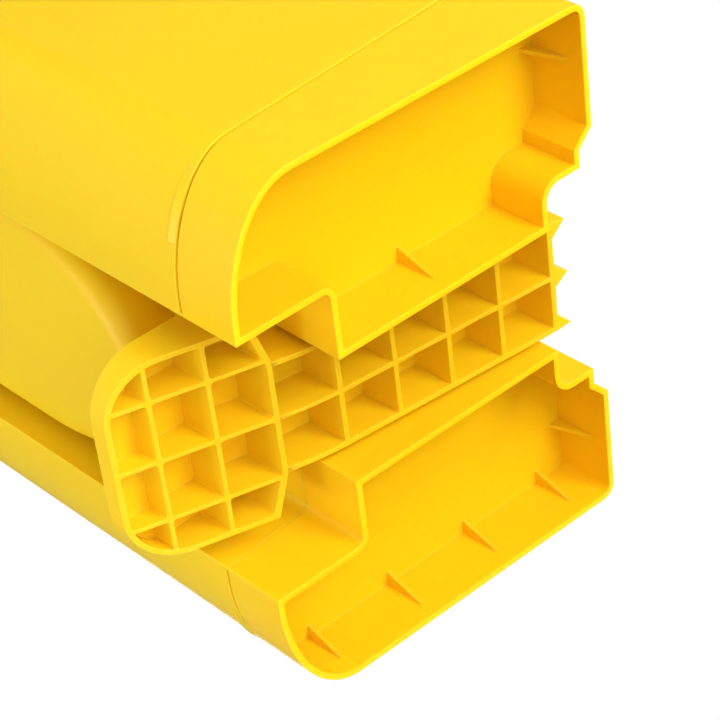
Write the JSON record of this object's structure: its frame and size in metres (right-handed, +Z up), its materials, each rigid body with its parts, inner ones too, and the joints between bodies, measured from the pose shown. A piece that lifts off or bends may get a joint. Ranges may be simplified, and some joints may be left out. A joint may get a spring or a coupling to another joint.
{
  "type": "crowd control barrier",
  "caption": "Expandable crowd control barrier, folded: hollow yellow end posts on skirted trays, a middle column on a ribbed foot, and a scissor lattice stored inside.",
  "frame": {"origin": "on the floor, under the middle of the whole folded barrier", "axes": "+X to the right post, the way the barrier opens; -Y to the front, where the head of the foot stands out; +Z up"},
  "size_m": [0.26, 0.238, 1],
  "materials": {
    "yellow_post": "satin moulded yellow plastic",
    "yellow_column": "satin moulded yellow plastic",
    "yellow_slat": "satin moulded yellow plastic",
    "reflector": "white prismatic reflective sheet",
    "steel": "zinc-plated steel"
  },
  "bodies": {
    "column": {"column_front": "yellow_column", "column_back": "yellow_column", "column_block": "yellow_column", "column_panel": "yellow_column", "column_cap": "yellow_column", "carry_handle": "yellow_column", "handle_screws": "steel", "foot": "yellow_column", "foot_head": "yellow_column", "pin_column": "steel"},
    "body_slat_r1_front": {"slat_r1_front": "yellow_slat", "rivets_r1": "steel", "reflectors_r1_front": "reflector"},
    "body_slat_r1_back": {"slat_r1_back": "yellow_slat", "rivet_r1_top": "steel", "slide_pin_column": "steel", "reflectors_r1_back": "reflector"},
    "body_slat_r2_front": {"slat_r2_front": "yellow_slat", "rivet_r2": "steel", "slide_pin_right": "steel", "reflectors_r2_front": "reflector"},
    "body_slat_r2_back": {"slat_r2_back": "yellow_slat", "reflectors_r2_back": "reflector"},
    "body_slat_l1_back": {"slat_l1_back": "yellow_slat", "rivets_l1": "steel", "reflectors_l1_back": "reflector"},
    "body_slat_l1_front": {"slat_l1_front": "yellow_slat", "rivet_l1_top": "steel", "reflectors_l1_front": "reflector"},
    "body_slat_l2_back": {"slat_l2_back": "yellow_slat", "rivet_l2": "steel", "slide_pin_left": "steel", "reflectors_l2_back": "reflector"},
    "body_slat_l2_front": {"slat_l2_front": "yellow_slat", "reflectors_l2_front": "reflector"},
    "post_right": {"shell_right": "yellow_post", "tray_right": "yellow_post", "cap_right": "yellow_post", "rail_right": "steel", "pin_right": "steel"},
    "post_left": {"shell_left": "yellow_post", "tray_left": "yellow_post", "cap_left": "yellow_post", "rail_left": "steel", "pin_left": "steel"}
  },
  "joints": [
    {"name": "lattice_open", "type": "hinge", "parent": "column", "child": "body_slat_r1_front", "pos_m": [0, 0.024, 0.89], "axis": [0, -1, 0], "range_deg": [0, 46.9]},
    {"name": "right_cross_inner", "type": "hinge", "parent": "body_slat_r1_front", "child": "body_slat_r1_back", "pos_m": [0.0205, 0.024, 0.5055], "axis": [0, 1, 0], "range_deg": [0, 93.8]},
    {"name": "right_top_joint", "type": "hinge", "parent": "body_slat_r1_back", "child": "body_slat_r2_front", "pos_m": [0.041, 0.024, 0.89], "axis": [0, -1, 0], "range_deg": [0, 93.8]},
    {"name": "right_cross_outer", "type": "hinge", "parent": "body_slat_r2_front", "child": "body_slat_r2_back", "pos_m": [0.0615, 0.024, 0.5055], "axis": [0, 1, 0], "range_deg": [0, 93.8]},
    {"name": "right_post_joint", "type": "hinge", "parent": "body_slat_r2_back", "child": "post_right", "pos_m": [0.082, 0.024, 0.89], "axis": [0, -1, 0], "range_deg": [0, 46.9]},
    {"name": "left_column_joint", "type": "hinge", "parent": "column", "child": "body_slat_l1_back", "pos_m": [0, 0.024, 0.89], "axis": [0, 1, 0], "range_deg": [0, 46.9]},
    {"name": "left_cross_inner", "type": "hinge", "parent": "body_slat_l1_back", "child": "body_slat_l1_front", "pos_m": [-0.0205, 0.024, 0.5055], "axis": [0, -1, 0], "range_deg": [0, 93.8]},
    {"name": "left_top_joint", "type": "hinge", "parent": "body_slat_l1_front", "child": "body_slat_l2_back", "pos_m": [-0.041, 0.024, 0.89], "axis": [0, 1, 0], "range_deg": [0, 93.8]},
    {"name": "left_cross_outer", "type": "hinge", "parent": "body_slat_l2_back", "child": "body_slat_l2_front", "pos_m": [-0.0615, 0.024, 0.5055], "axis": [0, -1, 0], "range_deg": [0, 93.8]},
    {"name": "left_post_joint", "type": "hinge", "parent": "body_slat_l2_front", "child": "post_left", "pos_m": [-0.082, 0.024, 0.89], "axis": [0, 1, 0], "range_deg": [0, 46.9]}
  ],
  "couplings": [
    {"joint": "right_cross_inner", "follows": "lattice_open", "ratio": 2},
    {"joint": "right_top_joint", "follows": "lattice_open", "ratio": 2},
    {"joint": "right_cross_outer", "follows": "lattice_open", "ratio": 2},
    {"joint": "right_post_joint", "follows": "lattice_open", "ratio": 1},
    {"joint": "left_column_joint", "follows": "lattice_open", "ratio": 1},
    {"joint": "left_cross_inner", "follows": "lattice_open", "ratio": 2},
    {"joint": "left_top_joint", "follows": "lattice_open", "ratio": 2},
    {"joint": "left_cross_outer", "follows": "lattice_open", "ratio": 2},
    {"joint": "left_post_joint", "follows": "lattice_open", "ratio": 1}
  ]
}
